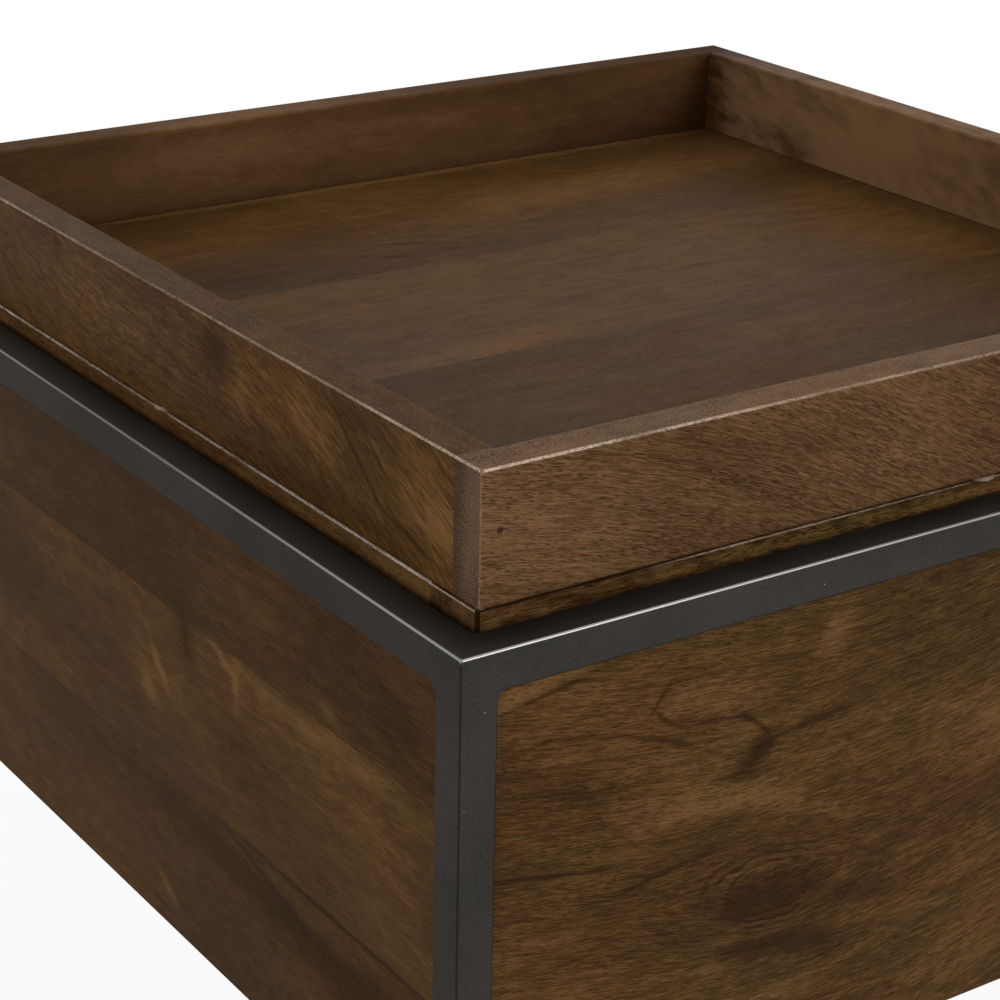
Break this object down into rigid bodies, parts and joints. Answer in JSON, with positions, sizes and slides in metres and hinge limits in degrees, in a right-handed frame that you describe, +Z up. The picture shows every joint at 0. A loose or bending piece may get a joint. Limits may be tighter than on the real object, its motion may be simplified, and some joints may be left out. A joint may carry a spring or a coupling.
{
  "type": "tray-top accent table",
  "caption": "Square side table: a wooden box in a dark square-tube frame on plain legs, with an inset top and a loose, deep-rimmed wooden tray resting on it.",
  "frame": {"origin": "on the floor under the middle of the table, the bottom centre of its box", "axes": "+Z up, -Y the front, +X to the right seen from the front"},
  "size_m": [0.515, 0.515, 0.61],
  "materials": {
    "frame_metal": "satin dark gunmetal over ground welds",
    "glide_plastic": "matt black",
    "fastener_steel": "zinc-plated steel",
    "pad_plastic": "pale translucent brown",
    "filler": "dark wood filler",
    "inner_wood": "plain sawn",
    "floor_wood": "dark walnut stain, satin lacquer",
    "tray_wood": "dark walnut stain, satin lacquer, arrises rubbed through",
    "top_wood": "dark walnut stain, satin lacquer",
    "panel_wood": "dark walnut stain, satin lacquer"
  },
  "bodies": {
    "table": {"bottom_board": "inner_wood", "cleat_back_left": "inner_wood", "cleat_back_right": "inner_wood", "cleat_front_left": "inner_wood", "cleat_front_right": "inner_wood", "cleat_screws": "fastener_steel", "corner_plate_back_left": "frame_metal", "corner_plate_back_right": "frame_metal", "corner_plate_front_left": "frame_metal", "corner_plate_front_right": "frame_metal", "glide_back_left": "glide_plastic", "glide_back_right": "glide_plastic", "glide_front_left": "glide_plastic", "glide_front_right": "glide_plastic", "ledger_back": "inner_wood", "ledger_front": "inner_wood", "ledger_left": "inner_wood", "ledger_right": "inner_wood", "ledger_screws": "fastener_steel", "leg_back_left": "frame_metal", "leg_back_right": "frame_metal", "leg_front_left": "frame_metal", "leg_front_right": "frame_metal", "panel_back": "panel_wood", "panel_front": "panel_wood", "panel_left": "panel_wood", "panel_right": "panel_wood", "plate_screws": "fastener_steel", "rail_back": "frame_metal", "rail_front": "frame_metal", "rail_left": "frame_metal", "rail_right": "frame_metal", "top_edging_back": "top_wood", "top_edging_front": "top_wood", "top_edging_left": "top_wood", "top_edging_right": "top_wood", "top_infill": "top_wood", "top_screws": "fastener_steel"},
    "tray": {"tray_board_back": "tray_wood", "tray_board_front": "tray_wood", "tray_board_left": "tray_wood", "tray_board_right": "tray_wood", "tray_nails": "fastener_steel", "tray_pads": "pad_plastic", "tray_plank_1": "floor_wood", "tray_plank_2": "floor_wood", "tray_plank_3": "floor_wood", "tray_plank_4": "floor_wood", "tray_plugs": "filler"}
  },
  "joints": [
    {"name": "tray_lift", "type": "slide", "parent": "table", "child": "tray", "axis": [0, 0, 1], "range_m": [0, 0.15]}
  ]
}
